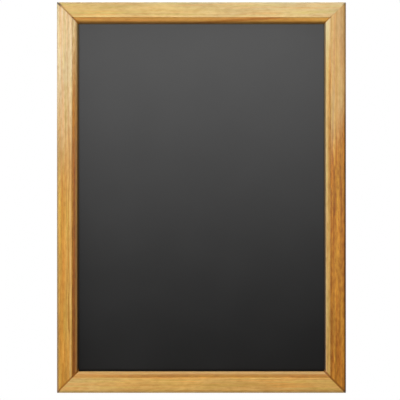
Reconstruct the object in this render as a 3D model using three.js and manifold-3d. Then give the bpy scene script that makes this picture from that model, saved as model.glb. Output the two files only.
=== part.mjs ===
// A framed wall chalkboard with an A2 writing area, hung by two ring hangers on its back.
// Millimetres. X runs to the right as seen from the front, Y towards the wall and Z up.
// The origin lies on the wall, midway between the two wall hooks that carry the board.

import * as THREE from 'three';
import { mergeVertices } from 'three/addons/utils/BufferGeometryUtils.js';
import Module from 'manifold-3d';

const wasm = await Module();
wasm.setup();

// Writing area that shows inside the frame
const sightWidth = 420;
const sightHeight = 594;

// Moulding: across is from the outer edge to the sight edge, depth from the back to the front
const railWidth = 37;
const railDepth = 18;
const outerRound = 6;
const backEase = 1.2;
const faceWidth = 26.3;
const faceEase = 0.5;
const grooveWidth = 0.9;
const grooveDepth = 2.1;
const beadDrop = 1.5;
const beadShoulderIn = 3.4;
const beadShoulderDown = 3.4;
const lipHeight = 2;
const lipRound = 0.5;
const mitreGap = 0.3;

// Rebate that holds the board from behind
const rebateWidth = 8;
const rebateDepth = 9;
const boardClearance = 1;

// Layers of the board
const writingSheetThickness = 0.8;
const coreThickness = 3;
const backingThickness = 0.5;

// Where pieces touch, and where metal is driven into wood
const seatGap = 0.1;
const drivenGap = 0.25;
const overrun = 1;

// V-shaped nails across each mitre, driven in from the back
const nailLeg = 4.2;
const nailFlange = 1.2;
const nailThickness = 0.8;
const nailHeight = 10;
const nailSink = 0.2;
const innerNailInset = 6;
const nailSpacing = 10;

// Steel points that hold the board in the rebate
const pointLength = 16;
const pointWidth = 7;
const pointThickness = 0.5;
const pointDriven = 6;
const pointTip = 3;
const pointLift = 1.4;
const pointLiftLength = 5;
const pointRound = 1.6;
const pointsPerStile = 3;
const pointsPerRail = 2;

// Ring hangers on the stiles
const hookDrop = 70;
const wireDiameter = 2.4;
const ringInnerWidth = 15;
const ringReach = 18.5;
const ringCornerRound = 2.4;
const eyeClearance = 0.25;
const strapThickness = 0.9;
const strapWidth = 11;
const strapEndRound = 4.5;
const strapFoldGap = 0.2;
const strapBendRound = 0.7;
const screwDrop = 6.8;
const strapBelowScrew = 4.7;

// Pan-head wood screw of each hanger
const screwDiameter = 3.5;
const screwCoreDiameter = 2.5;
const screwLength = 13;
const screwTip = 3;
const screwPitch = 1.4;
const screwHoleClearance = 0.3;
const headDiameter = 6.9;
const headHeight = 2.2;
const headSide = 0.9;
const recessWidth = 4;
const recessSlot = 0.9;
const recessDepth = 1.3;

// Rubber bumpers that keep the lower end as far off the wall as the hangers keep the upper end
const bumperDiameter = 12;
const bumperHeight = 5;
const bumperRound = 1;
const bumperRise = 60;

// Facets
const curveSteps = 8;
const turnSteps = 24;
const ringSteps = 56;
const ringSides = 8;

// Worked out from the sizes above
const outerWidth = sightWidth + 2 * railWidth;
const outerHeight = sightHeight + 2 * railWidth;
const backWidth = railWidth - rebateWidth;
const boardWidth = sightWidth + 2 * (rebateWidth - boardClearance);
const boardHeight = sightHeight + 2 * (rebateWidth - boardClearance);
const standoff = bumperHeight + seatGap;
const centreHeight = hookDrop - outerHeight / 2;
const wireRadius = wireDiameter / 2;
const eyeBore = wireRadius + eyeClearance;
const eyeOuter = eyeBore + strapThickness;
const strapTop = -eyeOuter + 2 * strapThickness + strapFoldGap;

const stainedPine = new THREE.MeshStandardMaterial({ color: '#c99a50', roughness: 0.42, metalness: 0 });
const slate = new THREE.MeshStandardMaterial({ color: '#262626', roughness: 0.5, metalness: 0 });
const fibreboard = new THREE.MeshStandardMaterial({ color: '#8a6a47', roughness: 0.9, metalness: 0 });
const backingPaper = new THREE.MeshStandardMaterial({ color: '#6f5b45', roughness: 0.85, metalness: 0 });
const steel = new THREE.MeshStandardMaterial({ color: '#b4b5b3', roughness: 0.35, metalness: 1 });
const rubber = new THREE.MeshStandardMaterial({ color: '#1d1d1d', roughness: 0.8, metalness: 0 });

const axisX = new THREE.Vector3(1, 0, 0);
const axisY = new THREE.Vector3(0, 1, 0);
const axisZ = new THREE.Vector3(0, 0, 1);

// An outline drawn in the XZ plane is extruded along Y. A profile drawn as (up, out) is extruded along X.
const planAxes = new THREE.Matrix4().makeBasis(axisX, axisZ, axisY.clone().negate());
const profileAxes = new THREE.Matrix4().makeBasis(axisZ, axisY, axisX.clone().negate());

const root = new THREE.Group();
const frame = new THREE.Group();
frame.position.set(0, -standoff, centreHeight);
root.add(frame);

function solidOf(geometry) {
  const loose = geometry.index ? geometry.toNonIndexed() : geometry;
  const bare = new THREE.BufferGeometry().setAttribute('position', loose.attributes.position);
  const merged = mergeVertices(bare);
  const mesh = new wasm.Mesh({
    numProp: 3,
    vertProperties: merged.attributes.position.array,
    triVerts: new Uint32Array(merged.index.array),
  });
  return new wasm.Manifold(mesh);
}

function geometryOf(solid) {
  const { vertProperties, triVerts } = solid.getMesh();
  const geometry = new THREE.BufferGeometry();
  geometry.setAttribute('position', new THREE.BufferAttribute(vertProperties, 3));
  geometry.setIndex(new THREE.BufferAttribute(triVerts, 1));
  geometry.computeVertexNormals();
  return geometry;
}

function addPiece(name, geometry, material, parent) {
  const mesh = new THREE.Mesh(geometry, material);
  mesh.name = name;
  parent.add(mesh);
  return mesh;
}

// Cuts a seat, drawn in the frame of its holder, out of a mesh that stands elsewhere.
function carve(mesh, seat, holder) {
  root.updateMatrixWorld(true);
  const toMesh = mesh.matrixWorld.clone().invert().multiply(holder.matrixWorld);
  const tool = solidOf(seat.clone().applyMatrix4(toMesh));
  mesh.geometry = geometryOf(solidOf(mesh.geometry).subtract(tool));
}

// Extrudes a plan outline between two heights on Y.
function plate(outline, low, high) {
  const options = { depth: high - low, bevelEnabled: false, curveSegments: curveSteps };
  const geometry = new THREE.ExtrudeGeometry(outline, options);
  return geometry.applyMatrix4(planAxes).translate(0, high, 0);
}

// Extrudes an (up, out) profile to a width on X, centred.
function strip(profile, width) {
  const options = { depth: width, bevelEnabled: false, curveSegments: curveSteps };
  const geometry = new THREE.ExtrudeGeometry(profile, options);
  return geometry.translate(0, 0, -width / 2).applyMatrix4(profileAxes);
}

// Section of the moulding: x is across from the outer edge, y is depth from the back.
function railSection() {
  const section = new THREE.Shape();
  section.moveTo(backEase, 0);
  section.lineTo(backWidth, 0);
  section.lineTo(backWidth, rebateDepth);
  section.lineTo(railWidth, rebateDepth);
  section.lineTo(railWidth, rebateDepth + lipHeight - lipRound);
  section.quadraticCurveTo(
    railWidth, rebateDepth + lipHeight,
    railWidth - lipRound, rebateDepth + lipHeight + lipRound,
  );
  section.quadraticCurveTo(
    railWidth - beadShoulderIn, railDepth - beadShoulderDown,
    faceWidth + grooveWidth, railDepth - beadDrop,
  );
  section.lineTo(faceWidth + grooveWidth, railDepth - grooveDepth);
  section.lineTo(faceWidth, railDepth - grooveDepth);
  section.lineTo(faceWidth, railDepth - faceEase);
  section.quadraticCurveTo(faceWidth, railDepth, faceWidth - faceEase, railDepth);
  section.lineTo(outerRound, railDepth);
  section.absarc(outerRound, railDepth - outerRound, outerRound, Math.PI / 2, Math.PI, false);
  section.lineTo(0, backEase);
  section.closePath();
  return section;
}

// A rail lies along X with its outer edge at z = 0 and its back at y = 0. Both ends are mitred.
function railGeometry(length) {
  const options = { depth: length, bevelEnabled: false, curveSegments: curveSteps };
  const geometry = new THREE.ExtrudeGeometry(railSection(), options);
  const points = geometry.attributes.position;
  for (let i = 0; i < points.count; i++) {
    const setBack = points.getX(i) + mitreGap / Math.SQRT2;
    points.setZ(i, points.getZ(i) > length / 2 ? length - setBack : setBack);
  }
  geometry.translate(0, 0, -length / 2);
  return geometry.applyMatrix4(new THREE.Matrix4().makeBasis(axisZ, axisY.clone().negate(), axisX));
}

// The four rails differ only in length and in which way they face.
const across = { length: outerWidth, edge: outerHeight / 2, points: pointsPerRail };
const upright = { length: outerHeight, edge: outerWidth / 2, points: pointsPerStile };
const sides = {
  bottom: { name: 'bottom_rail', turn: 0, ...across },
  left: { name: 'left_stile', turn: Math.PI / 2, ...upright },
  top: { name: 'top_rail', turn: Math.PI, ...across },
  right: { name: 'right_stile', turn: -Math.PI / 2, ...upright },
};
for (const side of Object.values(sides)) {
  side.group = new THREE.Group();
  side.group.rotation.y = side.turn;
  frame.add(side.group);
  side.rail = addPiece(side.name, railGeometry(side.length), stainedPine, side.group);
  side.rail.position.z = -side.edge;
}

// The board is three layers behind the lip, and stands on the bottom of the rebate.
function addBoard() {
  const layers = [
    ['writing_sheet', writingSheetThickness, slate],
    ['core_board', coreThickness, fibreboard],
    ['backing_sheet', backingThickness, backingPaper],
  ];
  let front = -rebateDepth + seatGap;
  for (const [name, thickness, material] of layers) {
    const geometry = new THREE.BoxGeometry(boardWidth, thickness, boardHeight);
    const layer = addPiece(name, geometry, material, frame);
    layer.position.set(0, front + thickness / 2, seatGap - boardClearance);
    front += thickness + seatGap;
  }
  return front;
}
const boardBack = addBoard();

// A V in plan, its point inwards, with a flange at the end of each leg. Grown by a margin it is its own seat.
function nailOutline(margin) {
  const half = nailThickness / 2 + margin;
  const reach = nailLeg / Math.SQRT2;
  const skew = half * Math.SQRT2;
  const flangeEnd = -reach - nailFlange - margin;
  const outline = new THREE.Shape();
  outline.moveTo(0, skew);
  outline.lineTo(reach + half, -reach + skew - half);
  outline.lineTo(reach + half, flangeEnd);
  outline.lineTo(reach - half, flangeEnd);
  outline.lineTo(reach - half, -reach - skew + half);
  outline.lineTo(0, -skew);
  outline.lineTo(-reach + half, -reach - skew + half);
  outline.lineTo(-reach + half, flangeEnd);
  outline.lineTo(-reach - half, flangeEnd);
  outline.lineTo(-reach - half, -reach + skew - half);
  outline.closePath();
  return outline;
}

// Each corner stands on the mitre, with its z axis running inwards along it.
const corners = [
  ['bottom_left', -1, -1, sides.bottom, sides.left],
  ['top_left', -1, 1, sides.left, sides.top],
  ['top_right', 1, 1, sides.top, sides.right],
  ['bottom_right', 1, -1, sides.right, sides.bottom],
];
function addNails() {
  const insets = { inner: backWidth - innerNailInset, outer: backWidth - innerNailInset - nailSpacing };
  const nail = plate(nailOutline(0), -nailSink - nailHeight, -nailSink);
  const seat = plate(nailOutline(drivenGap), -nailSink - nailHeight - drivenGap, overrun);
  for (const [corner, right, up, first, second] of corners) {
    for (const [place, inset] of Object.entries(insets)) {
      const holder = new THREE.Group();
      holder.position.set(right * (outerWidth / 2 - inset), 0, up * (outerHeight / 2 - inset));
      holder.rotation.y = Math.atan2(-right, -up);
      frame.add(holder);
      addPiece(`mitre_nail_${corner}_${place}`, nail, steel, holder);
      carve(first.rail, seat, holder);
      carve(second.rail, seat, holder);
    }
  }
}
addNails();

// A retaining point: its tip is driven into the rail, and its tail lies on the board and lifts off it.
function pointGeometry() {
  const half = pointWidth / 2;
  const tail = pointLength - pointDriven;
  const outline = new THREE.Shape();
  outline.moveTo(0, -pointDriven);
  outline.lineTo(half, -pointDriven + pointTip);
  outline.lineTo(half, tail - pointRound);
  outline.quadraticCurveTo(half, tail, half - pointRound, tail);
  outline.lineTo(-half + pointRound, tail);
  outline.quadraticCurveTo(-half, tail, -half, tail - pointRound);
  outline.lineTo(-half, -pointDriven + pointTip);
  outline.closePath();
  const profile = new THREE.Shape();
  profile.moveTo(-pointDriven - overrun, 0);
  profile.lineTo(tail - pointLiftLength, 0);
  profile.lineTo(tail + overrun, pointLift);
  profile.lineTo(tail + overrun, pointLift + pointThickness);
  profile.lineTo(tail - pointLiftLength, pointThickness);
  profile.lineTo(-pointDriven - overrun, pointThickness);
  profile.closePath();
  const cookie = solidOf(plate(outline, -overrun, pointLift + pointThickness + overrun));
  return geometryOf(cookie.intersect(solidOf(strip(profile, pointWidth + 2 * overrun))));
}

function addPoints() {
  const point = pointGeometry();
  const slot = new THREE.BoxGeometry(
    pointWidth + 2 * drivenGap,
    pointThickness + 2 * drivenGap,
    pointDriven + drivenGap + overrun,
  );
  slot.translate(0, pointThickness / 2, (overrun - pointDriven - drivenGap) / 2);
  for (const [sideName, side] of Object.entries(sides)) {
    const span = side.length - 2 * railWidth;
    for (let i = 0; i < side.points; i++) {
      const holder = new THREE.Group();
      holder.position.x = ((i + 1 / 2) / side.points - 1 / 2) * span;
      holder.position.y = boardBack;
      holder.position.z = -side.edge + backWidth;
      side.group.add(holder);
      addPiece(`retaining_point_${sideName}_${i + 1}`, point, steel, holder);
      carve(side.rail, slot, holder);
    }
  }
}
addPoints();

// The strap in profile: a strip folded round the ring's bar, whose axis is the origin.
// The wood lies at -eyeOuter.
function strapProfile() {
  const tail = screwDrop + strapBelowScrew;
  const bendCentre = new THREE.Vector2(0, strapTop + strapBendRound);
  bendCentre.x = -Math.sqrt((eyeOuter + strapBendRound) ** 2 - bendCentre.y ** 2);
  const turn = bendCentre.angle();
  const profile = new THREE.Shape();
  profile.moveTo(-tail, -eyeOuter);
  profile.lineTo(0, -eyeOuter);
  profile.absarc(0, 0, eyeOuter, -Math.PI / 2, turn, false);
  profile.absarc(bendCentre.x, bendCentre.y, strapBendRound, turn - Math.PI, -Math.PI / 2, true);
  profile.lineTo(-tail, strapTop);
  profile.lineTo(-tail, strapTop - strapThickness);
  profile.lineTo(bendCentre.x, strapTop - strapThickness);
  const outerBend = strapBendRound + strapThickness;
  profile.absarc(bendCentre.x, bendCentre.y, outerBend, -Math.PI / 2, turn - Math.PI, false);
  profile.absarc(0, 0, eyeBore, turn, -Math.PI / 2, true);
  profile.lineTo(-tail, -eyeBore);
  profile.closePath();
  return profile;
}

function strapGeometry() {
  const tail = screwDrop + strapBelowScrew;
  const half = strapWidth / 2;
  const cornerRight = half - strapEndRound;
  const cornerUp = strapEndRound - tail;
  const outline = new THREE.Shape();
  outline.moveTo(half, eyeOuter + overrun);
  outline.lineTo(-half, eyeOuter + overrun);
  outline.lineTo(-half, cornerUp);
  outline.absarc(-cornerRight, cornerUp, strapEndRound, Math.PI, 1.5 * Math.PI, false);
  outline.absarc(cornerRight, cornerUp, strapEndRound, 1.5 * Math.PI, 2 * Math.PI, false);
  outline.closePath();

  const holeRadius = screwDiameter / 2 + screwHoleClearance;
  const holeHeight = strapTop + eyeOuter + 2 * overrun;
  const hole = new THREE.CylinderGeometry(holeRadius, holeRadius, holeHeight, turnSteps);
  hole.translate(0, (strapTop - eyeOuter) / 2, -screwDrop);

  const folded = solidOf(strip(strapProfile(), strapWidth + 2 * overrun));
  const trimmed = folded.intersect(solidOf(plate(outline, -eyeOuter - overrun, eyeOuter + overrun)));
  return geometryOf(trimmed.subtract(solidOf(hole)));
}

// A D of round wire that hangs down from its straight bar. It closes on itself, so its tube has no ends.
function ringGeometry() {
  const half = ringInnerWidth / 2 + wireRadius;
  const bowCentre = -(ringReach + wireRadius - half);
  const straight = half - ringCornerRound;
  const line = new THREE.Path();
  line.moveTo(-straight, 0);
  line.lineTo(straight, 0);
  line.absarc(straight, -ringCornerRound, ringCornerRound, Math.PI / 2, 0, true);
  line.absarc(0, bowCentre, half, 0, -Math.PI, true);
  line.absarc(-straight, -ringCornerRound, ringCornerRound, Math.PI, Math.PI / 2, true);
  const stations = line.getSpacedPoints(ringSteps).slice(0, ringSteps);
  const centreLine = new THREE.CatmullRomCurve3(stations.map((p) => new THREE.Vector3(p.x, 0, p.y)), true);
  return new THREE.TubeGeometry(centreLine, ringSteps, wireRadius, ringSides, true);
}

// Shank and head are turned together. The underside of the head is at y = 0.
function screwGeometry() {
  const core = screwCoreDiameter / 2;
  const crest = screwDiameter / 2;
  const headRadius = headDiameter / 2;
  const profile = [new THREE.Vector2(0, -screwLength), new THREE.Vector2(core, -screwLength + screwTip)];
  for (let y = -screwLength + screwTip; y + screwPitch < -screwPitch; y += screwPitch) {
    profile.push(new THREE.Vector2(crest, y + screwPitch / 2));
    profile.push(new THREE.Vector2(core, y + screwPitch));
  }
  profile.push(new THREE.Vector2(core, 0), new THREE.Vector2(headRadius, 0));
  const dome = new THREE.Path();
  dome.moveTo(headRadius, headSide);
  dome.quadraticCurveTo(headRadius, headHeight, headRadius / 2, headHeight);
  profile.push(...dome.getPoints(curveSteps / 2), new THREE.Vector2(0, headHeight));
  const turned = solidOf(new THREE.LatheGeometry(profile, turnSteps));
  const slot = new THREE.BoxGeometry(recessWidth, recessDepth + overrun, recessSlot);
  slot.translate(0, headHeight + (overrun - recessDepth) / 2, 0);
  const crossSlot = slot.clone().rotateY(Math.PI / 2);
  return geometryOf(turned.subtract(solidOf(slot)).subtract(solidOf(crossSlot)));
}

function addHangers() {
  const strap = strapGeometry();
  const ring = ringGeometry();
  const screw = screwGeometry();
  const holeRadius = screwDiameter / 2 + screwHoleClearance;
  const hole = new THREE.CylinderGeometry(holeRadius, holeRadius, screwLength + overrun, turnSteps);
  hole.translate(0, (overrun - screwLength) / 2 - screwHoleClearance, 0);
  for (const [sideName, right] of [['left', -1], ['right', 1]]) {
    const hanger = new THREE.Group();
    hanger.position.set(
      right * (outerWidth / 2 - backWidth / 2),
      eyeOuter + seatGap,
      -ringReach - centreHeight,
    );
    frame.add(hanger);
    addPiece(`${sideName}_hanger_strap`, strap, steel, hanger);
    addPiece(`${sideName}_hanger_ring`, ring, steel, hanger);
    const screwPiece = addPiece(`${sideName}_hanger_screw`, screw, steel, hanger);
    screwPiece.position.set(0, strapTop + seatGap, -screwDrop);
    carve(sides[sideName].rail, hole, screwPiece);
  }
}
addHangers();

// Flat-topped rubber buttons near the lower ends of the stiles
function addBumpers() {
  const radius = bumperDiameter / 2;
  const side = new THREE.Path();
  side.moveTo(radius, bumperHeight - bumperRound);
  side.quadraticCurveTo(radius, bumperHeight, radius - bumperRound, bumperHeight);
  const profile = [new THREE.Vector2(0, 0), new THREE.Vector2(radius, 0)];
  profile.push(...side.getPoints(curveSteps / 2), new THREE.Vector2(0, bumperHeight));
  const bumper = new THREE.LatheGeometry(profile, turnSteps);
  for (const [sideName, right] of [['left', -1], ['right', 1]]) {
    const piece = addPiece(`${sideName}_wall_bumper`, bumper, rubber, frame);
    piece.position.set(
      right * (outerWidth / 2 - backWidth / 2),
      seatGap,
      -outerHeight / 2 + bumperRise,
    );
  }
}
addBumpers();

export default root;
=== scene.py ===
import math

import bmesh
import bpy
from mathutils import Matrix, Vector


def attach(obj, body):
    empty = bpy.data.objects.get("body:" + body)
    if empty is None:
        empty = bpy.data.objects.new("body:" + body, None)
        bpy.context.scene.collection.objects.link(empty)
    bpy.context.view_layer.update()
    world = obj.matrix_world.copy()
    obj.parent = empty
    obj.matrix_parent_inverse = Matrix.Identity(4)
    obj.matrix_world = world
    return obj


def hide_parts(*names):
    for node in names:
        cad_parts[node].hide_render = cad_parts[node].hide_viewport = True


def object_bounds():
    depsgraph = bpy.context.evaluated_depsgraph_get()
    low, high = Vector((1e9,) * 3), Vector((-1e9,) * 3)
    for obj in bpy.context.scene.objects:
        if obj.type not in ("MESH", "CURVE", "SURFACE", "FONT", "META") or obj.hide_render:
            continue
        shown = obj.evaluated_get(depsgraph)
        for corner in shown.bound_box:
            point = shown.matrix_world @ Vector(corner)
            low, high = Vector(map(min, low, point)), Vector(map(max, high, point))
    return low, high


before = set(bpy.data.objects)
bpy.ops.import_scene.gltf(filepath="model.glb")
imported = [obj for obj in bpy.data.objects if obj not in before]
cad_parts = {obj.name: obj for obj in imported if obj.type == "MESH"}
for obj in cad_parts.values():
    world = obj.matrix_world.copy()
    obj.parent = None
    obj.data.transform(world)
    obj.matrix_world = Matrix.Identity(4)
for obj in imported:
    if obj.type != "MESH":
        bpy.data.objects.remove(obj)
scene = bpy.context.scene
cadLow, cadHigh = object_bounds()
print("chalkboard loaded:", len(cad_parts), "nodes")

mm = 0.001
quarter = math.pi / 2
near = 1e-3         # mm, by which places that are one may differ
weld = 1e-4         # mm, vertices closer than this are merged
overcut = 1         # mm that a cutter stands clear of what it cuts
smoothBelow = 32    # degrees between two faces

# Camera straight in front, as the photograph was taken
view = {
    "distance": 2.2,     # m from the face of the moulding
    "across": 0.6819,    # m that the picture takes in there
    "x": -0.0025, "z": -0.2683,
    "sensor": 36,        # mm
}


def addObject(name, data):
    item = bpy.data.objects.new(name, data)
    scene.collection.objects.link(item)
    return item


def addCamera():
    data = bpy.data.cameras.new("frontCamera")
    data.sensor_width = view["sensor"]
    data.lens = view["sensor"] * view["distance"] / view["across"]
    camera = addObject("frontCamera", data)
    camera.location = (view["x"], cadLow[1] - view["distance"], view["z"])
    camera.rotation_euler = (quarter, 0, 0)
    scene.camera = camera


addCamera()
scene.view_settings.view_transform = "Standard"
print("camera set")


# Mesh helpers

def move(*vec):
    return Matrix.Translation(vec)


def turn(angle, axis="Y"):
    return Matrix.Rotation(angle, 4, axis)


def placed(bm, place):
    bmesh.ops.transform(bm, matrix=place, verts=bm.verts)
    return bm


def pick(geom, kind):
    return [item for item in geom if isinstance(item, kind)]


def edgesWhere(bm, test):
    # both ends are where the test says
    return [edge for edge in bm.edges if all(test(v.co) for v in edge.verts)]


def sharpEdges(bm, degrees):
    limit = math.radians(degrees)
    return [edge for edge in bm.edges if len(edge.link_faces) == 2 and edge.calc_face_angle() > limit]


def bevel(bm, geom, radius, steps, affect="EDGES"):
    bmesh.ops.bevel(bm, geom=geom, offset=radius, segments=steps, profile=0.5, affect=affect,
                    clamp_overlap=False, material=-1)


def faceOutwards(bm):
    bmesh.ops.recalc_face_normals(bm, faces=bm.faces)


def seal(bm, distance=weld):
    bmesh.ops.remove_doubles(bm, verts=bm.verts, dist=distance)
    faceOutwards(bm)


def toMesh(bm, name):
    mesh = bpy.data.meshes.new(name)
    bm.to_mesh(mesh)
    return mesh


def extrudeFaces(bm, faces, vec):
    grown = bmesh.ops.extrude_face_region(bm, geom=faces)["geom"]
    bmesh.ops.translate(bm, verts=pick(grown, bmesh.types.BMVert), vec=vec)
    faceOutwards(bm)


def sliceAt(bm, place, normal, **settings):
    everything = bm.verts[:] + bm.edges[:] + bm.faces[:]
    return bmesh.ops.bisect_plane(bm, geom=everything, plane_co=place, plane_no=normal, **settings)


def pull(bm, run, vec):
    # extrude a row of edges, and hand back its far end
    grown = bmesh.ops.extrude_edge_only(bm, edges=run)["geom"]
    verts = pick(grown, bmesh.types.BMVert)
    bmesh.ops.translate(bm, verts=verts, vec=vec)
    return [edge for edge in pick(grown, bmesh.types.BMEdge) if all(v in verts for v in edge.verts)]


def curl(bm, run, centre, axis, angle, steps):
    # the same, round a bend
    rim = list(dict.fromkeys(v for edge in run for v in edge.verts))
    grown = bmesh.ops.spin(bm, geom=run + rim, cent=centre, axis=axis, angle=angle, steps=steps,
                           use_merge=False)["geom_last"]
    return pick(grown, bmesh.types.BMEdge)


def block(size):
    bm = bmesh.new()
    bmesh.ops.create_cube(bm, size=1)
    bmesh.ops.scale(bm, vec=size, verts=bm.verts)
    return bm


def rod(radius, length, steps):
    bm = bmesh.new()
    bmesh.ops.create_cone(bm, cap_ends=True, segments=steps, radius1=radius, radius2=radius, depth=length)
    return bm


def lathe(profile, steps):
    # (radius, height) places turned about Y
    bm = bmesh.new()
    verts = [bm.verts.new((radius, y, 0)) for radius, y in profile]
    edges = [bm.edges.new(pair) for pair in zip(verts, verts[1:])]
    bmesh.ops.spin(bm, geom=verts + edges, cent=(0, 0, 0), axis=(0, 1, 0), angle=4 * quarter, steps=steps,
                   use_merge=True)
    seal(bm)
    return bm


def roundRim(bm, radius, height, ease, steps):
    rim = edgesWhere(bm, lambda co: abs(co.y - height) < near and abs(math.hypot(co.x, co.z) - radius) < near)
    bevel(bm, rim, ease, steps)


def addShape(bm, other):
    mesh = toMesh(other, "part")
    other.free()
    bm.from_mesh(mesh)
    bpy.data.meshes.remove(mesh)


def cutAway(bm, cutter):
    # Boolean difference, applied
    pair = [addObject(name, toMesh(shape, name)) for name, shape in (("uncut", bm), ("cutter", cutter))]
    modifier = pair[0].modifiers.new("cut", "BOOLEAN")
    modifier.operation = "DIFFERENCE"
    modifier.solver = "EXACT"
    modifier.object = pair[1]
    evaluated = pair[0].evaluated_get(bpy.context.evaluated_depsgraph_get())
    result = bpy.data.meshes.new_from_object(evaluated)
    bm.clear()
    bm.from_mesh(result)
    spent = [item.data for item in pair] + [result]
    for item in pair:
        bpy.data.objects.remove(item)
    for mesh in spent:
        bpy.data.meshes.remove(mesh)
    cutter.free()


def finishPiece(bm, name, node, materials, place, body="board"):
    # millimetres become metres only here
    mesh = toMesh(placed(bm, Matrix.Scale(mm, 4) @ place), name)
    bm.free()
    for material in materials:
        mesh.materials.append(material)
    mesh.shade_smooth()
    mesh.set_sharp_from_angle(angle=math.radians(smoothBelow))
    piece = addObject(name, mesh)
    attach(piece, body)
    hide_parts(node)
    return piece


# Material helpers. Colours are linear and written without their alpha

def emptyTree(owner):
    owner.use_nodes = True
    owner.node_tree.nodes.clear()
    return owner.node_tree


def source(tree, kind):
    return tree.nodes.new("ShaderNode" + kind).outputs


def addNode(kind, inputs, **settings):
    # it joins the tree that its linked inputs come from
    tree = next(value.id_data for value in inputs.values() if isinstance(value, bpy.types.NodeSocket))
    node = tree.nodes.new("ShaderNode" + kind)
    for key, value in settings.items():
        setattr(node, key, value)
    for key, value in inputs.items():
        socket = node.inputs[key]
        if isinstance(value, bpy.types.NodeSocket):
            tree.links.new(value, socket)
        else:
            socket.default_value = (*value, 1) if socket.type == "RGBA" else value
    return node


def calc(operation, first, second=0):
    return addNode("Math", {0: first, 1: second}, operation=operation).outputs[0]


def times(first, second):
    return calc("MULTIPLY", first, second)


def vectorCalc(operation, first, second=(0, 0, 0)):
    return addNode("VectorMath", {0: first, 1: second}, operation=operation).outputs


def axes(vector):
    return addNode("SeparateXYZ", {"Vector": vector}).outputs


def spread(value, low, high, newLow, newHigh):
    inputs = {"Value": value, "From Min": low, "From Max": high, "To Min": newLow, "To Max": newHigh}
    return addNode("MapRange", inputs, interpolation_type="SMOOTHSTEP").outputs["Result"]


def band(value, rise, risen, falling, fallen):
    # 1 between the two middle places, 0 outside the outer two
    return times(spread(value, rise, risen, 0, 1), spread(value, falling, fallen, 1, 0))


def grey(value):
    return (value, value, value)


def ramp(factor, stops):
    node = addNode("ValToRGB", {"Fac": factor})
    elements = node.color_ramp.elements
    while len(elements) < len(stops):
        elements.new(1)
    for element, (place, colour) in zip(elements, stops):
        element.position = place
        element.color = (*colour, 1)
    return node.outputs["Color"]


def shade(factor, low, high, dark=0, light=1):
    return ramp(factor, [(low, grey(dark)), (high, grey(light))])


def mix(factor, first, second, blend="MIX"):
    inputs = {"Fac": factor, "Color1": first, "Color2": second}
    return addNode("MixRGB", inputs, blend_type=blend).outputs["Color"]


def multiply(first, second, share=1):
    return mix(share, first, second, "MULTIPLY")


def stretch(vector, scale, location=(0, 0, 0)):
    return addNode("Mapping", {"Vector": vector, "Scale": scale, "Location": location}).outputs["Vector"]


def noise(vector, scale, detail=2, roughness=0.5, distortion=0):
    inputs = {"Vector": vector, "Scale": scale, "Detail": detail, "Roughness": roughness,
              "Distortion": distortion}
    return addNode("TexNoise", inputs).outputs["Fac"]


def startMaterial(name, location=(0, 0, 0), rotation=(0, 0, 0)):
    # the Mapping node gives millimetres on the piece
    material = bpy.data.materials.new(name)
    place = source(emptyTree(material), "TexCoord")["Object"]
    inputs = {"Vector": place, "Location": location, "Rotation": rotation, "Scale": grey(1 / mm)}
    return material, addNode("Mapping", inputs).outputs["Vector"]


def finishMaterial(colour, surface, height, distance, strength):
    # surface holds the shader's other inputs; the height stands out by a distance in mm
    bump = addNode("Bump", {"Height": height, "Strength": strength, "Distance": distance * mm})
    inputs = {"Base Color": colour, "Normal": bump.outputs["Normal"], **surface}
    shader = addNode("BsdfPrincipled", inputs)
    addNode("OutputMaterial", {"Surface": shader.outputs["BSDF"]})


# Moulding sizes in mm: across is from the outer edge, depth from the back
moulding = {
    "width": 494, "height": 668, "railWidth": 37, "back": -5.1, "middle": -264,
    "rebate": (29, 9), "rebateSlack": (0.2, 0.1),    # across, depth
    "seatZone": (1.5, 0.5, 14.5),    # faces of the seats: across from, depth from and to
    "mitreBand": 0.7,    # but no nearer than this to the mitre's face
    "bareDepth": 0.05,   # bare wood ends this far in front of the back
    "easeDepth": 0.1,    # and the eased arrises start here
    "section": [  # across, depth, radius of the long edge there, steps
        (0, 0, 1.2, 3),
        (29, 0, 0.3, 2),
        (29, 9, 0, 0),
        (37, 9, 0.3, 2),
        (37, 10.97, 1.6, 5),
        (33.6, 14.6, 3, 6),
        (27, 16.56, 0.25, 2),
        (26.85, 15.9, 0, 0),
        (26.45, 15.9, 0, 0),
        (26.3, 18, 0.5, 3),
        (0, 18, 6, 12),
    ],
    "tipWear": 0.9,
    "weld": 1e-5,
}

# Each mitre: how far its faces stand back at the outer tip and at the sight edge, its eased arris, its
# dark joint stain at those two ends, darker at the sight edge as painted shade in the inner corner, how far
# that soaked into a rail beside it, and its worn dark tip (strength, size)
mitres = {
    "bottomLeft": {"gap": (0.03, 0.02), "ease": 0.09, "stain": (0.7, 1),
                   "soak": {"left": 5.4, "bottom": 0.8}, "tip": (0.8, 1)},
    "topLeft": {"gap": (0.06, 0.03), "ease": 0.1, "stain": (0.5, 0.8),
                "soak": {"top": 4, "left": 2.6}, "tip": (0.92, 1.5)},
    "topRight": {"gap": (0.03, 0.03), "ease": 0.05, "stain": (0, 0.55),
                 "soak": {"top": 3.4, "right": 0.8}, "tip": (0.45, 1.2)},
    "bottomRight": {"gap": (0.03, 0.02), "ease": 0.09, "stain": (0.95, 0.95),
                    "soak": {"right": 4.4, "bottom": 3}, "tip": (0.85, 1)},
}

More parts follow.
